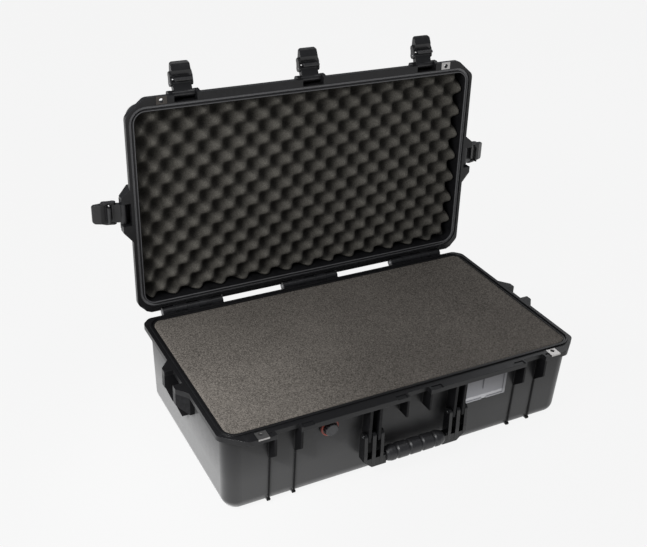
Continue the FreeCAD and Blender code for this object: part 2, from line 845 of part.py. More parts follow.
def padlock_plate(name, sign, low, out):
    ends = sorted((f"{sign}plate_in_x", f"{sign}plate_out_x"), key=mm)
    tab = box(f"{name}_tab", (ends[0], f"-({out})", low), (ends[1], "-plate_in_y", f"{low} + padlock_plate"))
    hole = cylinder(
        f"{name}_hole", "z", (f"{sign}padlock_x", "-padlock_y"), "padlock_hole", f"{low} - 1",
        f"{low} + padlock_plate + 1",
    )
    return cut(f"{name}_solid", tab, [hole])


for hand, sign in (("left", "-"), ("right", "")):
    node(
        padlock_plate(f"base_tab_{hand}", sign, "base_height - padlock_plate", "rim_front + 0.4"),
        f"padlock_plate_base_{hand}",
    )
    node(
        padlock_plate(f"lid_tab_{hand}", sign, "lid_gap", "lid_front + 0.4"), f"padlock_plate_lid_{hand}",
        LID_POSE,
    )


# ------------------------------------------------------------------ latches, in the catch frame, closed
def build_arm():
    """The link between the lid's ears and the lever."""
    sides = [
        ("pivot_out - 3.6", "pivot_up - 4"), ("lever_out - 4.6", "-lever_down - 1.15"),
        ("lever_out + 3.7", "-lever_down + 2.95"), ("pivot_out + 5.4", "pivot_up + 0.4"),
    ]
    blank = fuse("arm_blank", [
        profile("arm_web", sides, "-arm_half", "arm_half"),
        outward_cylinder("arm_top", "pivot_out", "pivot_up", "arm_boss", "-lug_half", "lug_half"),
        outward_cylinder(
            "arm_foot", "lever_out", "-lever_down", "lever_pin_radius + 3", "-arm_half", "arm_half",
        ),
    ])
    bores = [
        outward_cylinder(
            "arm_pivot_bore", "pivot_out", "pivot_up", "pivot_pin_radius + running", "-30", "30",
        ),
        outward_cylinder(
            "arm_lever_bore", "lever_out", "-lever_down", "lever_pin_radius + running", "-30", "30",
        ),
    ]
    return cut("arm_solid", blank, bores)


def build_lever():
    """The hooked lever: a thick paddle that houses the button, and two cheeks."""
    cheek = [
        ("lever_out - 5.6", "-lever_down - 1"), ("lever_out + 5.6", "-lever_down - 1"),
        ("paddle_face - 2.5", "-tooth_top - 1"), ("paddle_face - 1", "-button_top"),
        ("paddle_face - 1", "-button_top - 4"), ("paddle_face - 5", "-button_bottom + 1"),
        ("lever_out - 2", "-tooth_bottom"),
    ]
    paddle = [
        ("housing_back", "-tooth_top"), ("paddle_face - 3.5", "-tooth_top"),
        ("paddle_face - 1", "-button_top + 1"),
        ("paddle_face", "-button_top"), ("paddle_face", "-button_bottom - 5.5"),
        ("paddle_face - 0.5", "-paddle_tip"),
        ("paddle_face - 3.5", "-paddle_tip"), ("paddle_face - 6", "-paddle_tip + 2.5"),
        ("housing_back", "-button_bottom - 1.5"),
    ]
    at_tip = level("-paddle_tip")
    tooth = [
        ("tooth_tip", "-tooth_top"), ("button_back + 1", "-tooth_top"), ("button_back + 1", "-tooth_bottom"),
        ("tooth_tip + 4", "-tooth_bottom"), ("tooth_tip", "-tooth_bottom + 2"),
    ]
    solids = mirrored_profile("lever_cheek", cheek, "cheek_half", "lug_half")
    for hand, start, end in (("right", "cheek_half", "lug_half"), ("left", "-lug_half", "-cheek_half")):
        solids.append(
            outward_cylinder(f"cheek_eye_{hand}", "lever_out", "-lever_down", "cheek_radius", start, end),
        )
    blade = profile("lever_paddle", paddle, "-paddle_half", "paddle_half")
    solids.append(
        rounded(
            "lever_blade", blade, "tip_round",
            lambda edge: at_tip(edge) and abs(edge.BoundBox.XLength) < 0.01,
        ),
    )
    solids.append(profile("lever_tooth", tooth, "-tooth_half", "tooth_half"))
    blank = fuse("lever_blank", solids)
    tools = [
        outward_cylinder(
            "lever_bore", "lever_out", "-lever_down", "lever_pin_radius + running", "-30", "30",
        ),
        box(
            "button_mouth", ("-button_half - gap", "-paddle_face - 2", "-button_bottom - gap"),
            ("button_half + gap", "-button_back", "-button_top + gap"),
        ),
        box(
            "button_pocket", ("-button_flange - gap", "-button_step - gap", "-button_bottom - gap"),
            ("button_flange + gap", "-pocket_back", "-button_top + gap"),
        ),
    ]
    return cut("lever_solid", blank, tools)


def build_button():
    """The press button, with a back flange that keeps it in the lever and a bore for its spring."""
    head = box(
        "button_head", ("-button_half", "-paddle_face - button_proud", "-button_bottom"),
        ("button_half", "-button_back", "-button_top"),
    )
    flange = box(
        "button_skirt", ("-button_flange", "-button_step", "-button_bottom"),
        ("button_flange", "-button_back", "-button_top"),
    )
    blank = fuse("button_blank", [head, flange])
    middle = "-(button_top + button_bottom) / 2"
    bore = cylinder("button_bore", "y", ("0", middle), "spring_bore", "-button_back - 5", "-button_back + 1")
    return cut("button_solid", blank, [bore])


def build_spring():
    """The button's coil spring, standing on the floor of the lever's pocket."""
    helix = doc.addObject("Part::Helix", "spring_line")
    helix.setExpression("Radius", bound("spring_radius"))
    helix.setExpression("Height", bound("spring_length"))
    helix.setExpression("Pitch", bound("spring_length / 3"))
    section = doc.addObject("Part::Circle", "spring_section")
    section.setExpression("Radius", bound("spring_wire"))
    section.Placement = Placement(Vector(mm("spring_radius"), 0, 0), Rotation(AXES["x"], 90))
    coil = doc.addObject("Part::Sweep", "spring_coil")
    coil.Sections = [section]
    coil.Spine = helix
    coil.Solid = True
    coil.Frenet = True
    start = Vector(0, -mm("pocket_back") - 0.5, -mm("(button_top + button_bottom) / 2"))
    return copy("spring_placed", coil, Placement(start, Rotation(AXES["z"], Vector(0, -1, 0))))


designs = {
    "latch_arm": build_arm(),
    "latch_lever": build_lever(),
    "latch_button": build_button(),
    "latch_spring": build_spring(),
    "latch_lever_pin": turned(
        "lever_pin_design", pin_outline("lever_pin_radius", "lug_half * 2"),
        Placement(Vector(-mm("lug_half"), -mm("lever_out"), -mm("lever_down")), Rotation()),
    ),
}
pivot_pin = turned(
    "pivot_pin_design", pin_outline("pivot_pin_radius", "(notch_half + ear_thickness) * 2"),
    Placement(Vector(-mm("notch_half + ear_thickness"), -mm("pivot_out"), mm("pivot_up")), Rotation()),
)
for site, place in SITES.items():
    on_lid = LID_POSE.multiply(place)
    node(copy(f"pivot_pin_at_{site}", pivot_pin, on_lid), f"latch_pivot_pin_{site}")
    for kind, design in designs.items():
        node(copy(f"{kind}_at_{site}", design, on_lid.multiply(LATCH_SWING)), f"{kind}_{site}")


# ------------------------------------------------------------------ carrying handle
PRONGS = (
    ("fin_inner_near - 7", "fin_inner_near - 1"),
    ("fin_inner_far + 3", "fin_outer_near - 3"),
    ("fin_outer_far + 1", "fin_outer_far + 7"),
)


def build_handle_frame():
    """Two three-pronged brackets joined by the grip's core bar."""
    side = [
        ("handle_y - prong_radius", "handle_z"), ("handle_y + prong_radius", "handle_z"),
        ("handle_y + prong_radius + 2", "bar_z + 14"), ("handle_y + prong_radius + 1", "prong_tip + 3"),
        ("handle_y + 5", "prong_tip"), ("handle_y - 3", "prong_tip"),
        ("handle_y - prong_radius + 1", "prong_tip + 5"),
    ]
    foot = [
        ("handle_y - prong_radius + 1", "bar_z + 5"), ("handle_y + prong_radius + 1", "bar_z + 5"),
        ("handle_y + prong_radius + 1", "prong_tip + 3"), ("handle_y + 5", "prong_tip"),
        ("handle_y - 3", "prong_tip"), ("handle_y - prong_radius + 1", "prong_tip + 5"),
    ]
    solids = []
    for index, (near, far) in enumerate(PRONGS):
        solids += mirrored_profile(f"prong_{index}", side, near, far)
        for hand, start, end in (("right", near, far), ("left", f"-({far})", f"-({near})")):
            solids.append(outward_cylinder(
                f"prong_eye_{index}_{hand}", "handle_y", "handle_z", "prong_radius", start, end,
            ))
    solids += mirrored_profile("handle_foot", foot, "grip_half", "fin_outer_far + 7")
    solids.append(
        outward_cylinder("handle_core", "bar_y", "bar_z", "bar_radius", "-grip_half - 8", "grip_half + 8"),
    )
    blank = fuse("handle_blank", solids)
    tools = [
        outward_cylinder("prong_bore", "handle_y", "handle_z", "handle_pin_radius + running", "-110", "110"),
    ]
    for hand, sign in (("right", ""), ("left", "-")):
        slant = [
            (f"{sign}(fin_inner_far + 3)", "prong_tip - 2"), (f"{sign}(fin_outer_far + 9)", "prong_tip - 2"),
            (f"{sign}(fin_outer_far + 9)", "prong_tip + slant_rise"),
        ]
        tools.append(prism(f"handle_slant_{hand}", "xz", slant, "-handle_y - 30", "-handle_y + 30"))
    return cut("handle_solid", blank, tools)


def build_grip():
    """The soft grip round the core bar, in segments parted by shallow grooves."""
    groove_radius = "grip_radius - grip_groove"
    points = [
        ("-grip_half", "bar_radius"), ("-grip_half", "grip_radius - 3.5"),
        ("-grip_half + 4", "grip_radius - 1.6"), ("-grip_half + 10", "grip_radius"),
    ]
    for step in (-1.5, -0.5, 0.5, 1.5):
        middle = f"{step} * grip_pitch"
        points += [
            (f"{middle} - 3.5", "grip_radius"), (f"{middle} - 1", groove_radius),
            (f"{middle} + 1", groove_radius), (f"{middle} + 3.5", "grip_radius"),
        ]
    points += [
        ("grip_half - 10", "grip_radius"), ("grip_half - 4", "grip_radius - 1.6"),
        ("grip_half", "grip_radius - 3.5"), ("grip_half", "bar_radius"),
    ]
    return turned("grip_body", points, Placement(Vector(0, -mm("bar_y"), mm("bar_z")), Rotation()))


node(build_handle_frame(), "handle_frame")
node(build_grip(), "handle_grip")
PIN_LENGTH = "fin_outer_far - fin_inner_near + 14"
for hand, start in (("left", "-fin_outer_far - 7"), ("right", "fin_inner_near - 7")):
    place = Placement(Vector(mm(start), -mm("handle_y"), mm("handle_z")), Rotation())
    pin = turned(f"handle_pin_body_{hand}", pin_outline("handle_pin_radius", PIN_LENGTH), place)
    node(pin, f"handle_pin_{hand}")


# ------------------------------------------------------------------ pressure valve, turned about -Y
VALVE_PLACE = Placement(Vector(-mm("valve_x"), 0, mm("valve_z")), Rotation(AXES["x"], Vector(0, -1, 0)))
valve_body = turned("valve_body_turned", [
    ("inner_y - 0.6", "valve_spindle + 3"), ("inner_y - 0.6", "valve_bore - running"),
    ("valve_seat + 1.2", "valve_bore - running"), ("valve_seat + 1.2", "valve_flange"),
    ("valve_face - 1.5", "valve_flange"), ("valve_face - 1.5", "valve_ring_inner"),
    ("valve_face", "valve_ring_inner"), ("valve_face", "valve_spindle + running"),
    ("inner_y + 3", "valve_spindle + running"), ("inner_y + 3", "valve_spindle + 3"),
], VALVE_PLACE)
node(valve_body, "valve_body")
node(turned("valve_ring_turned", [
    ("valve_face - 1.5", "valve_ring_inner"), ("valve_face - 1.5", "valve_flange - 0.4"),
    ("valve_ring_face - 0.8", "valve_flange - 0.4"), ("valve_ring_face", "valve_flange - 1.2"),
    ("valve_ring_face", "valve_ring_inner"),
], VALVE_PLACE), "valve_ring")
node(turned("valve_membrane_turned", [
    ("inner_y - 0.6", "0"), ("inner_y - 0.6", "valve_spindle + 2.9"),
    ("inner_y + 1.2", "valve_spindle + 2.9"), ("inner_y + 1.2", "0"),
], VALVE_PLACE), "valve_membrane")


def build_valve_cap():
    """The purge knob: a stepped disc on a spindle, with finger scallops round its edge."""
    knob = turned("valve_knob_turned", [
        ("inner_y + 3.3", "0"), ("inner_y + 3.3", "valve_spindle"), ("valve_face + gap", "valve_spindle"),
        ("valve_face + gap", "valve_knob"), ("valve_knob_face - 1.5", "valve_knob"),
        ("valve_knob_face", "valve_knob - 1.5"), ("valve_knob_face", "0"),
    ], VALVE_PLACE)
    scallops = []
    for index in range(12):
        angle = index * 30
        scallop = doc.addObject("Part::Cylinder", f"scallop_{index}")
        scallop.Placement = Placement(Vector(), Rotation(AXES["z"], AXES["y"]))
        scallop.Radius = 2
        scallop.Height = 20
        reach = mm("valve_knob + 1")
        turn = Rotation(AXES["y"], angle).multVec(Vector(reach, 0, 0))
        scallop.Placement.Base = Vector(-mm("valve_x"), -mm("valve_knob_face") - 5, mm("valve_z")) + turn
        scallops.append(scallop)
    return cut("valve_cap_solid", knob, scallops)


node(build_valve_cap(), "valve_cap")


# ------------------------------------------------------------------ card holder
CARD_MIDDLE = "(card_low_x + card_high_x) / 2"
CARD_HALF = "(card_high_x - card_low_x) / 2"


def card_slab(name, side, depth_low, depth_high, low, high):
    """A slab centred on the holder: side is its step in from the frame's edge."""
    return box(
        name, (f"card_low_x + {side}", f"-({depth_high})", low),
        (f"card_high_x - ({side})", f"-({depth_low})", high),
    )


card_frame = cut(
    "card_frame_solid", card_slab("card_block", "0", "card_seat", "card_face", "card_low_z", "card_high_z"),
    [
    card_slab(
        "card_pocket", "card_edge", "card_seat + 1", "card_face + 1", "card_low_z + 3", "card_high_z - 3",
    ),
    card_slab(
        "card_channel", "card_edge - 1.5", "card_seat + 2", "card_face - 0.8", "card_low_z - 1",
        "card_high_z - 3",
    ),
    box(
        "tab_slot", (f"{CARD_MIDDLE} - card_tab - gap", "-card_face - 1", "card_low_z - 1"),
        (f"{CARD_MIDDLE} + card_tab + gap", "-card_seat - 2", "card_low_z + 4"),
    ),
])
node(card_frame, "card_frame")
node(
    card_slab(
        "card_blank", "card_edge + 1", "card_seat + 1", "card_seat + 1.7", "card_low_z + 3.5",
        "card_high_z - 3.5",
    ),
    "name_card",
)
cover = card_slab(
    "cover_plate", "card_edge - 1.5 + gap", "card_seat + 2 + gap", "card_face - 0.8 - gap",
    "card_low_z + 0.5",
    "card_high_z - 3 - gap",
)
tab = box(
    "cover_tab", (f"{CARD_MIDDLE} - card_tab", "-card_face - 0.6", "card_low_z + 22"),
    (f"{CARD_MIDDLE} + card_tab", "-card_face + 1.2", "card_high_z - 4"),
)
node(fuse("cover_solid", [cover, tab]), "card_cover")


# ------------------------------------------------------------------ check and write
doc.recompute()
failed = [item.Label for item in doc.Objects if {"Invalid", "Error"} & set(item.State)]
for name, solid in nodes.items():
    if solid.Shape.isNull() or not solid.Shape.isValid() or not solid.Shape.Solids:
        failed.append(name)
if failed:
    raise RuntimeError(f"not built: {failed}")
os.makedirs("parts", exist_ok=True)
for name, solid in nodes.items():
    solid.Shape.exportStep(f"parts/{name}.step")
    print(f"{name}: {len(solid.Shape.Solids)} solid, {solid.Shape.Volume / 1000:.1f} cm3")
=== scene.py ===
"""Looks of the hard drone carrying case: foams, materials, floor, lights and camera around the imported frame."""

import json
import math

import bpy
import numpy as np
from mathutils import Matrix, Vector


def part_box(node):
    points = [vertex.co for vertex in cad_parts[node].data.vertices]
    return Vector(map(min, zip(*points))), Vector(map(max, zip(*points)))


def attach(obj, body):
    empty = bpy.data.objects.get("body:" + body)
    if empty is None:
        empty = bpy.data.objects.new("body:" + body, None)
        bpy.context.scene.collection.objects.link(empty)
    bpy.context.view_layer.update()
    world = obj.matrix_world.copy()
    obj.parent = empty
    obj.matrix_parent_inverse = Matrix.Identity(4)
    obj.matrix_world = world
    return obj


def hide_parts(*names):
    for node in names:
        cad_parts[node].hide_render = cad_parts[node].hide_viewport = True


MM = 0.001

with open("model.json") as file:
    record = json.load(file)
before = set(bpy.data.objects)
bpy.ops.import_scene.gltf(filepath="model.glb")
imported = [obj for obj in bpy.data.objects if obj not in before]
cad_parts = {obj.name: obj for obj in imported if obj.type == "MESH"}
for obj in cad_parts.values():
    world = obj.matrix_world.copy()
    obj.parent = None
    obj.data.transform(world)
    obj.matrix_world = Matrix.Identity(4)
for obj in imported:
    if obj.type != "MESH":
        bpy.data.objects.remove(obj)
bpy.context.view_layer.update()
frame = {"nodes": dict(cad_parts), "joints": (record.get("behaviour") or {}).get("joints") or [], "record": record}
nodes = frame["nodes"]
joints = {joint["name"]: joint for joint in frame["joints"]}
scene = bpy.context.scene

# ------------------------------------------------------------------ camera
TARGET = Vector((-0.0798, 0.0, 0.2938))
AZIMUTH = math.radians(-28.73)
ELEVATION = math.radians(29.01)
ROLL = math.radians(2.71)
DISTANCE = 1.630
SENSOR = 36.0
LENS = 53.62
CLIP = (0.05, 60)


def add_camera():
    """The viewing angle from the front left, looking down on the open case."""
    back = Vector((
        math.sin(AZIMUTH) * math.cos(ELEVATION),
        -math.cos(AZIMUTH) * math.cos(ELEVATION),
        math.sin(ELEVATION),
    ))
    level = (-back).cross(Vector((0, 0, 1))).normalized()
    upright = level.cross(-back)
    right = level * math.cos(ROLL) + upright * math.sin(ROLL)
    up = upright * math.cos(ROLL) - level * math.sin(ROLL)
    data = bpy.data.cameras.new("camera")
    data.sensor_width = SENSOR
    data.lens = LENS
    data.clip_start, data.clip_end = CLIP
    camera = bpy.data.objects.new("camera", data)
    turn = Matrix((right, up, back)).transposed().to_4x4()
    camera.matrix_world = Matrix.Translation(TARGET + back * DISTANCE) @ turn
    scene.collection.objects.link(camera)
    scene.camera = camera


add_camera()


# ------------------------------------------------------------------ the open lid's frame
HINGE = Vector(joints["lid_hinge"]["pos_m"])
LID_OPEN = math.radians(-joints["lid_hinge"]["range_deg"][0])
RIM = HINGE.z - 0.2 * MM
LID_TURN = (
    Matrix.Translation(HINGE)
    @ Matrix.Rotation(-LID_OPEN, 4, "X")
    @ Matrix.Translation(-HINGE)
    @ Matrix.Translation((0, 0, RIM))
)
LID_NORMAL = LID_TURN.to_3x3() @ Vector((0, 0, 1))
LID_ALONG = LID_TURN.to_3x3() @ Vector((0, 1, 0))


# ------------------------------------------------------------------ node helpers
class Shader:
    """A short way to write one procedural material."""

    def __init__(self, name):
        self.material = bpy.data.materials.new(name)
        self.material.use_nodes = True
        self.tree = self.material.node_tree
        self.tree.nodes.clear()
        self.output = self.add("ShaderNodeOutputMaterial")
        self.shader = self.add("ShaderNodeBsdfPrincipled")
        self.link(self.shader.outputs[0], self.output.inputs[0])
        self.place = self.add("ShaderNodeTexCoord").outputs["Object"]

    def add(self, kind, **settings):
        """A new node; each setting is one of its properties or the value of one of its sockets."""
        made = self.tree.nodes.new(kind)
        for key, value in settings.items():
            if key in made.bl_rna.properties:
                setattr(made, key, value)
            else:
                made.inputs[key].default_value = value
        return made

    def link(self, start, end):
        self.tree.links.new(start, end)

    def set(self, **values):
        for key, value in values.items():
            self.shader.inputs[key.replace("_", " ")].default_value = value

    def noise(self, scale, detail=2.0, rough=0.5, place=None):
        made = self.add("ShaderNodeTexNoise", Scale=scale, Detail=detail, Roughness=rough)
        self.link(place or self.place, made.inputs["Vector"])
        return made.outputs["Fac"]

    def cells(self, scale):
        made = self.add("ShaderNodeTexVoronoi", Scale=scale)
        self.link(self.place, made.inputs["Vector"])
        return made.outputs["Distance"]

    def axes(self):
        """The place's X, Y and Z as a node's outputs."""
        made = self.add("ShaderNodeSeparateXYZ")
        self.link(self.place, made.inputs[0])
        return made.outputs

    def along(self, direction):
        """How far the place lies along a direction."""
        made = self.add("ShaderNodeVectorMath", operation="DOT_PRODUCT")
        self.link(self.place, made.inputs[0])
        made.inputs[1].default_value = tuple(direction)
        return made.outputs["Value"]

    def ramp(self, value, stops):
        made = self.add("ShaderNodeValToRGB")
        ramp = made.color_ramp
        while len(ramp.elements) < len(stops):
            ramp.elements.new(0.5)
        for element, (place, colour) in zip(ramp.elements, stops):
            element.position = place
            element.color = (*colour, 1) if len(colour) == 3 else (colour[0],) * 3 + (1,)
        self.link(value, made.inputs[0])
        return made.outputs[0]

    def between(self, value, start, end, low, high):
        """A value mapped straight from one range to another and held at the ends."""
        made = self.add("ShaderNodeMapRange")
        for socket, number in zip(("From Min", "From Max", "To Min", "To Max"), (start, end, low, high)):
            made.inputs[socket].default_value = number
        self.link(value, made.inputs["Value"])
        return made.outputs[0]

    def span(self, value, low, high):
        """A value of 0 to 1 mapped to low to high."""
        return self.between(value, 0.0, 1.0, low, high)

    def mixed(self, share, first, second):
        """A colour socket mixed with one plain colour."""
        made = self.add("ShaderNodeMix", data_type="RGBA")
        self.link(share, made.inputs[0])
        self.link(first, made.inputs[6])
        made.inputs[7].default_value = (*second, 1)
        return made.outputs[2]

    def scaled(self, colour, factor):
        made = self.add("ShaderNodeVectorMath", operation="SCALE")
        self.link(colour, made.inputs[0])
        self.link(factor, made.inputs["Scale"])
        return made.outputs[0]

    def maths(self, operation, *values):
        made = self.add("ShaderNodeMath", operation=operation)
        for socket, value in zip(made.inputs, values):
            if isinstance(value, (int, float)):
                socket.default_value = value
            else:
                self.link(value, socket)
        return made.outputs[0]

    def bump(self, height, strength, distance, soft=0.0):
        """A relief, over edges rounded by soft metres if that is given."""
        made = self.add("ShaderNodeBump", Strength=strength, Distance=distance)
        self.link(height, made.inputs["Height"])
        if soft:
            edges = self.add("ShaderNodeBevel", samples=4, Radius=soft)
            self.link(edges.outputs[0], made.inputs["Normal"])
        self.link(made.outputs[0], self.shader.inputs["Normal"])

    def colour(self, socket):
        self.link(socket, self.shader.inputs["Base Color"])

    def roughness(self, socket):
        self.link(socket, self.shader.inputs["Roughness"])


# ------------------------------------------------------------------ the shells' masks
# the base's walls stand WALL_FOOT off the middle at the floor and lean out by WALL_DRAFT;
# the end walls stand LONG_SIDE further out than the front and back ones
WALL_DRAFT = 4 / 158
WALL_FOOT = 0.1795
LONG_SIDE = 0.152
FLANGE_FOOT = 0.1485
FLUSH = 0.6 * MM
HAZE_HEIGHTS = (0.06, 0.15)
HAZE_ACROSS = (-0.33, 0.3)
HAZE_RIGHT = 0.42

# the lid's inner rim, a rounded rectangle on the rim plane
CAVITY_HALF = (0.330, 0.178)
CAVITY_CORNER = 0.0205
# the painted highlight line along that rim: its half width, how deep it reaches and its tone
LINE_HALF = 1.3 * MM
LINE_DEPTH = 2.0 * MM
RIM_HIGHLIGHT_TONE = (0.09, 0.09, 0.094)


def wall_masks(made):
    """Two masks of the base shell: its plain walls, and what stands proud of them below the flange."""
    across, depth, height = made.axes()
    reach = made.maths("ADD", made.maths("MULTIPLY", height, WALL_DRAFT), WALL_FOOT)
    over_y = made.maths("SUBTRACT", made.maths("ABSOLUTE", depth), reach)
    out_x = made.maths("SUBTRACT", made.maths("ABSOLUTE", across), LONG_SIDE)
    over = made.maths("MAXIMUM", over_y, made.maths("SUBTRACT", out_x, reach))
    flush = made.maths("LESS_THAN", over, FLUSH)
    fade = made.between(height, *HAZE_HEIGHTS, 1.0, 0.0)
    right = made.between(across, *HAZE_ACROSS, 1.0, HAZE_RIGHT)
    wall = made.maths("MULTIPLY", made.maths("MULTIPLY", fade, right), flush)
    low = made.maths("LESS_THAN", height, FLANGE_FOOT)
    proud = made.maths("MULTIPLY", low, made.maths("SUBTRACT", 1.0, flush))
    return wall, proud


def painted_rim_highlight(made):
    """A mask of the lid's inner rim edge, where a fine painted highlight line stands in for the light it catches.
    """
    across, _, height = made.axes()
    origin = LID_TURN.translation
    along = made.maths("SUBTRACT", made.along(LID_ALONG), origin.dot(LID_ALONG))
    past = [
        made.maths("SUBTRACT", made.maths("ABSOLUTE", value), half - CAVITY_CORNER)
        for value, half in zip((across, along), CAVITY_HALF)
    ]
    beyond = [made.maths("MAXIMUM", value, 0.0) for value in past]
    squares = [made.maths("MULTIPLY", value, value) for value in beyond]
    corner = made.maths("SQRT", made.maths("ADD", *squares))
    inside = made.maths("MINIMUM", made.maths("MAXIMUM", *past), 0.0)
    distance = made.maths("SUBTRACT", made.maths("ADD", corner, inside), CAVITY_CORNER)
    near = made.maths("LESS_THAN", made.maths("ABSOLUTE", distance), LINE_HALF)
    depth = made.maths("SUBTRACT", made.along(LID_NORMAL), origin.dot(LID_NORMAL))
    shallow = made.maths("LESS_THAN", depth, LINE_DEPTH)
    high = made.maths("GREATER_THAN", height, RIM)
    return made.maths("MULTIPLY", near, made.maths("MULTIPLY", shallow, high))


# ------------------------------------------------------------------ materials
GRAIN = 3200.0
GRAIN_DEPTH = 0.05 * MM
EDGE_SOFT = 0.9 * MM
# how strongly and how much paler the edges are painted: partly wear, partly a painted edge highlight
WEAR_AND_HIGHLIGHT = 0.5
RUBBED_AND_HIGHLIGHT = 4.0
FLANGE_GLOSS = 0.33
PROUD_GLOSS = 0.22


def moulded(name, tone, rough, grain=GRAIN, gloss=0.5, haze=0.0):
    """Moulded plastic: fine spark-eroded grain, soft edges, faint mottling, and paler edges that are partly wear
    and partly a painted edge highlight.

    haze is the paler sheen of the big walls; it and the gloss fade out towards the rim's dark flanges. Where haze
    is given, a painted highlight line also runs along the lid's inner rim.
    """
    made = Shader(name)
    mottle = made.noise(26.0, 4.0, 0.6)
    base = made.ramp(mottle, [(0.3, tuple(0.75 * c for c in tone)), (0.7, tone)])
    edge = made.add("ShaderNodeNewGeometry").outputs["Pointiness"]
    # paler edges in patches: partly wear, partly a painted edge highlight
    worn_and_lit_edges = made.ramp(edge, [(0.53, (0.0,)), (0.62, (1.0,))])
    edge_patches = made.noise(160.0, 5.0, 0.7)
    worn_and_lit_edges = made.maths("MULTIPLY", worn_and_lit_edges, made.ramp(edge_patches, [(0.42, (0.0,)), (0.7, (WEAR_AND_HIGHLIGHT,))]))
    tint = made.mixed(worn_and_lit_edges, base, [RUBBED_AND_HIGHLIGHT * c for c in tone])
    if haze:
        # a painted highlight line along the lid's inner rim
        made.colour(made.mixed(painted_rim_highlight(made), tint, RIM_HIGHLIGHT_TONE))
        wall, proud = wall_masks(made)
        shine = made.span(wall, FLANGE_GLOSS, gloss)
        shine = made.maths("SUBTRACT", shine, made.maths("MULTIPLY", proud, PROUD_GLOSS))
        made.link(shine, made.shader.inputs["Specular IOR Level"])
        made.link(made.maths("MULTIPLY", wall, haze), made.shader.inputs["Sheen Weight"])
        made.set(Sheen_Roughness=0.4)
    else:
        made.colour(tint)
        made.set(Specular_IOR_Level=gloss)
    made.roughness(made.span(made.noise(90.0, 3.0), rough - 0.05, rough + 0.07))
    made.bump(made.noise(grain, 2.0, 0.7), 0.35, GRAIN_DEPTH, EDGE_SOFT)
    return made.material


def foam(name, dark, light, grain_scale, stops, painted_hollows=None):
    """Open-cell foam: coarse and fine pores, a soft uneven tone, and painted shade in the hollows where it has
    peaks.

    The hollows' painted shade is given by the peaks' direction, where the shade starts along it, how deep it goes
    and how dark.
    """
    made = Shader(name)
    pores = made.cells(520.0)
    grain = made.noise(grain_scale, 5.0, 0.8)
    tone = made.noise(5.0, 2.0, 0.5)
    fine = made.maths("ADD", made.maths("MULTIPLY", grain, 0.9), made.maths("MULTIPLY", tone, 0.1))
    shade = made.ramp(fine, [(stops[0], dark), (stops[1], light)])
    if painted_hollows:
        normal, start, depth, deep = painted_hollows
        # painted shade, darker deeper into the hollows
        shade = made.scaled(shade, made.between(made.along(normal), start, start + depth, 1.0, deep))
    made.colour(shade)
    made.set(Roughness=0.95, Specular_IOR_Level=0.1)
    height = made.maths("ADD", pores, made.maths("MULTIPLY", grain, 0.8))
    made.bump(height, 0.4, 1.0 * MM)
    return made.material


def metal(name, tone, rough, stretch):
    """Brushed or ground metal, the lines along one axis."""
    made = Shader(name)
    mapping = made.add("ShaderNodeMapping", Scale=stretch)
    made.link(made.place, mapping.inputs["Vector"])
    lines = made.noise(900.0, 3.0, 0.7, mapping.outputs[0])
    made.colour(made.ramp(lines, [(0.3, tuple(0.8 * c for c in tone)), (0.7, tone)]))
    made.roughness(made.span(lines, rough - 0.08, rough + 0.1))
    made.set(Metallic=1.0)
    made.bump(lines, 0.2, 0.03 * MM)
    return made.material


def plain(name, dark, light, rough, scale=300.0, depth=0.03 * MM):
    """A simple mottled surface with a fine grain."""
    made = Shader(name)
    tone = made.noise(scale, 3.0, 0.6)
    made.colour(made.ramp(tone, [(0.3, dark), (0.7, light)]))
    made.roughness(made.span(tone, rough - 0.05, rough + 0.05))
    made.bump(made.noise(scale * 6, 2.0), 0.3, depth)
    return made.material


# painted shade on the card cover: the heights over which the flange's painted shadow deepens, the span over which
# it darkens to the right, and its foot's tone
CARD_SHADOW_HEIGHTS = (0.0915, 0.142)
CARD_SHADE_ACROSS = (0.102, 0.191)
CARD_FOOT_TONE = (0.34, 0.34, 0.36)


def window(name, top, strip):
    """The card holder's frosted cover: painted shade darkens it up under the flange and towards the right; it is
    pale along its foot.
    """
    made = Shader(name)
    across, _, height = made.axes()
    # the flange's painted shadow, deepening upwards
    rise = made.between(height, *CARD_SHADOW_HEIGHTS, 0.0, 1.0)
    cloud = made.maths("ADD", rise, made.span(made.noise(120.0, 3.0), -0.04, 0.04))
    shade = made.ramp(cloud, [(0.0, strip), (0.17, strip), (0.2, CARD_FOOT_TONE), (0.95, top)])
    # painted shade, darker towards the right
    made.colour(made.scaled(shade, made.between(across, *CARD_SHADE_ACROSS, 1.15, 0.65)))
    made.set(Roughness=0.32)
    return made.material


# the lid foam's relief: how far behind the rim plane its peaks end, their height and their pitch
PEAK_TOP = 8 * MM
PEAK_DEPTH = 26 * MM
PEAK_PITCH = 46 * MM
# painted shade in the lid foam's hollows: how dark it gets at the deepest, and where it starts and how deep it
# reaches
HOLLOW_SHADE = 0.3
PAINTED_HOLLOWS = (LID_NORMAL, (LID_TURN @ Vector((0, 0, PEAK_TOP))).dot(LID_NORMAL), PEAK_DEPTH, HOLLOW_SHADE)

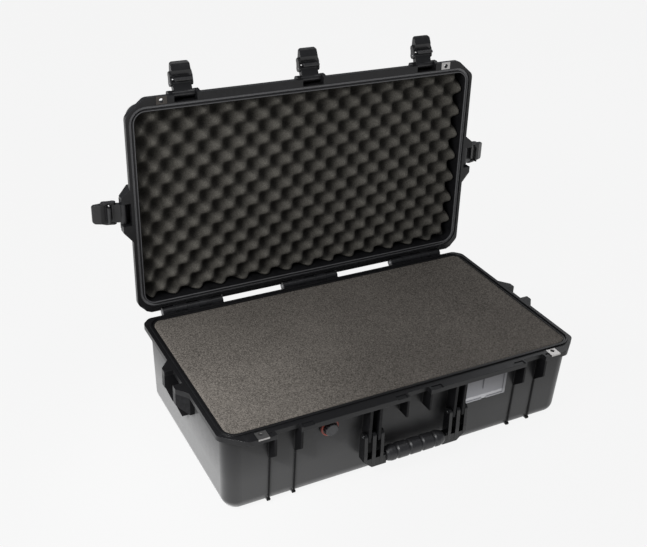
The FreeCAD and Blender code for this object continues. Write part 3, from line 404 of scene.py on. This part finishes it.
MATERIALS = {
    "shell_plastic": moulded("shell_plastic", (0.0065, 0.0065, 0.0072), 0.36, 2600.0, gloss=0.57, haze=0.62),
    "latch_plastic": moulded("latch_plastic", (0.0075, 0.0075, 0.0082), 0.3),
    "button_plastic": moulded("button_plastic", (0.006, 0.006, 0.0066), 0.3, gloss=0.4),
    "handle_plastic": moulded("handle_plastic", (0.0035, 0.0035, 0.004), 0.22, gloss=0.4),
    "grip_rubber": plain("grip_rubber", (0.014, 0.014, 0.015), (0.024, 0.024, 0.026), 0.38, 700.0, 0.06 * MM),
    "seal_rubber": plain("seal_rubber", (0.1, 0.1, 0.104), (0.15, 0.15, 0.155), 0.42, 400.0),
    "stainless": metal("stainless", (0.46, 0.45, 0.44), 0.3, (1, 12, 12)),
    # a darker copy of the steel: painted shade for a lid plate that faces down
    "stainless_shade": metal("stainless_shade", (0.085, 0.078, 0.072), 0.34, (1, 12, 12)),
    "steel_pin": metal("steel_pin", (0.22, 0.22, 0.23), 0.3, (1, 8, 8)),
    "spring_steel": metal("spring_steel", (0.55, 0.55, 0.57), 0.28, (6, 6, 6)),
    "pluck_foam": foam("pluck_foam", (0.03, 0.027, 0.0235), (0.17, 0.154, 0.137), 450.0, (0.39, 0.62)),
    "convoluted_foam": foam(
        "convoluted_foam", (0.034, 0.032, 0.0275), (0.155, 0.147, 0.13), 620.0, (0.36, 0.66), PAINTED_HOLLOWS,
    ),
    "valve_plastic": moulded("valve_plastic", (0.007, 0.007, 0.0075), 0.34),
    "valve_ring": plain("valve_ring", (0.17, 0.018, 0.008), (0.26, 0.03, 0.012), 0.4, 200.0),
    "valve_knob": plain("valve_knob", (0.018, 0.018, 0.02), (0.035, 0.035, 0.038), 0.34, 240.0),
    "membrane": plain("membrane", (0.5, 0.5, 0.48), (0.7, 0.7, 0.68), 0.9, 900.0),
    "card_frame": window("card_frame", (0.14, 0.14, 0.15), (0.45, 0.45, 0.47)),
    "card_paper": plain("card_paper", (0.5, 0.5, 0.49), (0.62, 0.62, 0.6), 0.8, 500.0),
    "card_window": window("card_window", (0.11, 0.11, 0.118), (0.7, 0.7, 0.72)),
}
# the lid padlock plate that gets the darker steel, as painted shade
SHADED_PLATE = "padlock_plate_lid_left"


def coat_nodes():
    """Every CAD node gets its slot's material; one of the padlock plates gets a darker copy of the steel, painted
    shade for a plate that faces down.
    """
    for part in frame["record"]["subparts"]:
        obj = nodes[part["node"]]
        slot = "stainless_shade" if part["node"] == SHADED_PLATE else part["material_slot"]
        obj.data.materials.clear()
        obj.data.materials.append(MATERIALS[slot])


coat_nodes()


# ------------------------------------------------------------------ foam pieces
SKIRT_SHARES = (0.06, 0.3, 0.65, 1.0)


def in_round_rectangle(points, half_x, half_y, radius):
    """Moves points that lie outside a rounded rectangle's corners on to the corner arcs."""
    core = np.array([half_x - radius, half_y - radius])
    over = np.maximum(np.abs(points) - core, 0)
    reach = np.hypot(over[:, 0], over[:, 1])
    scale = np.where(reach > radius, radius / np.maximum(reach, 1e-9), 1.0)
    both = (over[:, 0] > 0) & (over[:, 1] > 0)
    moved = np.sign(points) * (np.minimum(np.abs(points), core) + over * scale[:, None])
    return np.where(both[:, None], moved, points)


def grid_rim(count_x, count_y):
    """The indices round the edge of a grid of points that is stored row by row."""
    row = count_x + 1
    return (
        list(range(row))
        + [i * row + count_x for i in range(1, count_y + 1)]
        + [count_y * row + i for i in range(count_x - 1, -1, -1)]
        + [i * row for i in range(count_y - 1, 0, -1)]
    )


def slab(name, half_top, half_bottom, top, bottom, radius, step, height):
    """A closed block of foam whose top face is a grid raised by height(x, y); bottom may be narrower."""
    count_x, count_y = (max(8, round(2 * half / step)) for half in half_top)
    xs = np.linspace(-half_top[0], half_top[0], count_x + 1)
    ys = np.linspace(-half_top[1], half_top[1], count_y + 1)
    grid = np.array([(x, y) for y in ys for x in xs])
    flat = in_round_rectangle(grid, *half_top, radius)
    tops = np.column_stack([flat, top + height(flat[:, 0], flat[:, 1])])
    shrink = np.array(half_bottom) / np.array(half_top)
    verts = [tuple(point) for point in tops]
    rim = grid_rim(count_x, count_y)
    rings = [rim]
    for share in SKIRT_SHARES:
        rings.append(list(range(len(verts), len(verts) + len(rim))))
        pull = 1 + (shrink - 1) * share
        for x, y, z in tops[rim]:
            verts.append((x * pull[0], y * pull[1], z + (bottom - z) * share))
    faces = []
    row = count_x + 1
    for j in range(count_y):
        for i in range(count_x):
            corner = j * row + i
            faces.append((corner, corner + 1, corner + row + 1, corner + row))
    for upper, lower in zip(rings, rings[1:]):
        for k in range(len(rim)):
            after = (k + 1) % len(rim)
            faces.append((upper[k], lower[k], lower[after], upper[after]))
    faces.append(tuple(reversed(rings[-1])))
    mesh = bpy.data.meshes.new(name)
    mesh.from_pydata(verts, [], faces)
    mesh.update()
    obj = bpy.data.objects.new(name, mesh)
    scene.collection.objects.link(obj)
    return obj


def finish_foam(obj, slot, body, node):
    """Coats a foam block and lets it ride its body in place of its plain CAD solid."""
    obj.data.materials.append(MATERIALS[slot])
    for polygon in obj.data.polygons:
        polygon.use_smooth = True
    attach(obj, body)
    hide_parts(node)


# the lid's sheet as it lies in the shut lid: its hollows at SHEET_FACE and its back at SHEET_BACK over the rim
SHEET_HALF = (0.3265, 0.1745)
SHEET_BACK_HALF = (0.314, 0.162)
SHEET_FACE = PEAK_TOP + PEAK_DEPTH
SHEET_BACK = 49.2 * MM
SHEET_CORNER = 18 * MM
SHEET_STEP = 2.4 * MM
PEAK_SHIFT = (6 * MM, -4 * MM)
PEAK_POWER = 0.85


def convoluted(x, y):
    """Egg-box relief: staggered round peaks over round hollows."""
    turn = 2 * math.pi / PEAK_PITCH
    wave = np.cos(turn * (x - PEAK_SHIFT[0])) * np.cos(turn * (y - PEAK_SHIFT[1]))
    shaped = np.sign(wave) * np.abs(wave) ** PEAK_POWER
    return -PEAK_DEPTH * (0.5 + 0.5 * shaped)


def add_lid_foam():
    """The lid's egg-box sheet, made flat on the rim plane and then turned up with the open lid."""
    obj = slab(
        "lid_foam_sheet", SHEET_HALF, SHEET_BACK_HALF, SHEET_FACE, SHEET_BACK, SHEET_CORNER, SHEET_STEP,
        convoluted,
    )
    obj.data.flip_normals()
    obj.data.transform(LID_TURN)
    finish_foam(obj, "convoluted_foam", "lid", "lid_foam")


add_lid_foam()


# each block's step in at its foot, and how far its top stands over its CAD solid
BASE_FOAMS = (
    ("pluck_foam_upper", 1.8 * MM, 1.6 * MM),
    ("pluck_foam_lower", 2.2 * MM, -0.2 * MM),
    ("bottom_pad", 13.2 * MM, -0.2 * MM),
)
BLOCK_CORNER = 20.5 * MM
BLOCK_STEP = 4 * MM
SWELL = 0.12 * MM
EDGE_WIDTH = 2.2 * MM
EDGE_DROP = 1.0 * MM


def edge_fall(x, y, half):
    """How far a foam block's top sinks towards its cut edges."""
    inside = np.minimum(half[0] - np.abs(x), half[1] - np.abs(y))
    share = np.clip(1 - inside / EDGE_WIDTH, 0, 1)
    return -EDGE_DROP * (1 - np.sqrt(np.clip(1 - share ** 2, 0, 1)))


def add_base_foams():
    """The three blocks in the base, their tops very slightly uneven."""
    rng = np.random.default_rng(7)
    phases = rng.uniform(0, 2 * math.pi, 8)
    for node, inset, rise in BASE_FOAMS:
        low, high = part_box(node)
        half = (high.x, high.y)
        bottom = (half[0] - inset, half[1] - inset)

        def relief(x, y, half=half, rise=rise):
            swell = sum(
                SWELL * np.sin((k + 2) * 4.1 * x + phases[k]) * np.cos((k + 1) * 5.3 * y + phases[k + 4])
                for k in range(4)
            )
            return rise + swell + edge_fall(x, y, half)

        obj = slab(f"{node}_block", half, bottom, high.z, low.z, BLOCK_CORNER, BLOCK_STEP, relief)
        finish_foam(obj, "pluck_foam", "base", node)


add_base_foams()


# ------------------------------------------------------------------ floor and light
FLOOR_HALF = 40.0
FLOOR_TONE = (0.93, 0.93, 0.93, 1)
FLOOR_GLOW = 0.965
FLOOR_MATT = (0.03, 0.03, 0.03, 1)
WORLD_TONE = (0.92, 0.94, 1.0, 1)
WORLD_STRENGTH = 0.265

# each lamp's name, place, aim, size and power
AREA_LIGHTS = (
    ("key", (-1.7, -0.5, 1.35), (-0.1, 0, 0.2), (0.9, 0.9), 29),
    ("top", (0.2, -0.3, 2.6), (0, 0, 0.2), (1.6, 1.2), 11),
    ("rim_light", (1.8, 0.9, 1.6), (0, 0, 0.3), (1.0, 1.2), 6),
)
POOL_PLACE = (-1.4, -0.9, 1.6)
POOL_AIM = (-0.42, -0.13, 0.16)
POOL_CONE = math.radians(19)
POOL_SOFT = 0.12
POOL_POWER = 175


def add_floor():
    """A plain pale floor that mostly glows, with a faint matt share for soft shadows."""
    mesh = bpy.data.meshes.new("floor")
    corners = [(x * FLOOR_HALF, y * FLOOR_HALF, 0) for x, y in ((-1, -1), (1, -1), (1, 1), (-1, 1))]
    mesh.from_pydata(corners, [], [(0, 1, 2, 3)])
    floor = bpy.data.objects.new("floor", mesh)
    scene.collection.objects.link(floor)
    material = bpy.data.materials.new("floor")
    material.use_nodes = True
    tree = material.node_tree
    tree.nodes.clear()
    output = tree.nodes.new("ShaderNodeOutputMaterial")
    both = tree.nodes.new("ShaderNodeAddShader")
    glow = tree.nodes.new("ShaderNodeEmission")
    glow.inputs["Color"].default_value = FLOOR_TONE
    glow.inputs["Strength"].default_value = FLOOR_GLOW
    matt = tree.nodes.new("ShaderNodeBsdfDiffuse")
    matt.inputs["Color"].default_value = FLOOR_MATT
    tree.links.new(glow.outputs[0], both.inputs[0])
    tree.links.new(matt.outputs[0], both.inputs[1])
    tree.links.new(both.outputs[0], output.inputs[0])
    mesh.materials.append(material)


def place_lamp(name, data, place, aim):
    lamp = bpy.data.objects.new(name, data)
    lamp.location = place
    lamp.rotation_euler = (Vector(aim) - Vector(place)).to_track_quat("-Z", "Y").to_euler()
    scene.collection.objects.link(lamp)


def add_lights():
    """Three soft panels, and a small soft pool of light on the case's near left corner."""
    for name, place, aim, size, power in AREA_LIGHTS:
        data = bpy.data.lights.new(name, "AREA")
        data.shape = "RECTANGLE"
        data.size, data.size_y = size
        data.energy = power
        place_lamp(name, data, place, aim)
    pool = bpy.data.lights.new("left_pool", "SPOT")
    pool.spot_size = POOL_CONE
    pool.spot_blend = 1.0
    pool.shadow_soft_size = POOL_SOFT
    pool.energy = POOL_POWER
    place_lamp("left_pool", pool, POOL_PLACE, POOL_AIM)


def add_world():
    """An even, cool fill from all round."""
    world = bpy.data.worlds.new("studio")
    scene.world = world
    world.use_nodes = True
    back = world.node_tree.nodes["Background"]
    back.inputs["Color"].default_value = WORLD_TONE
    back.inputs["Strength"].default_value = WORLD_STRENGTH


add_floor()
add_world()
add_lights()

scene.view_settings.view_transform = "Standard"
scene.view_settings.look = "None"
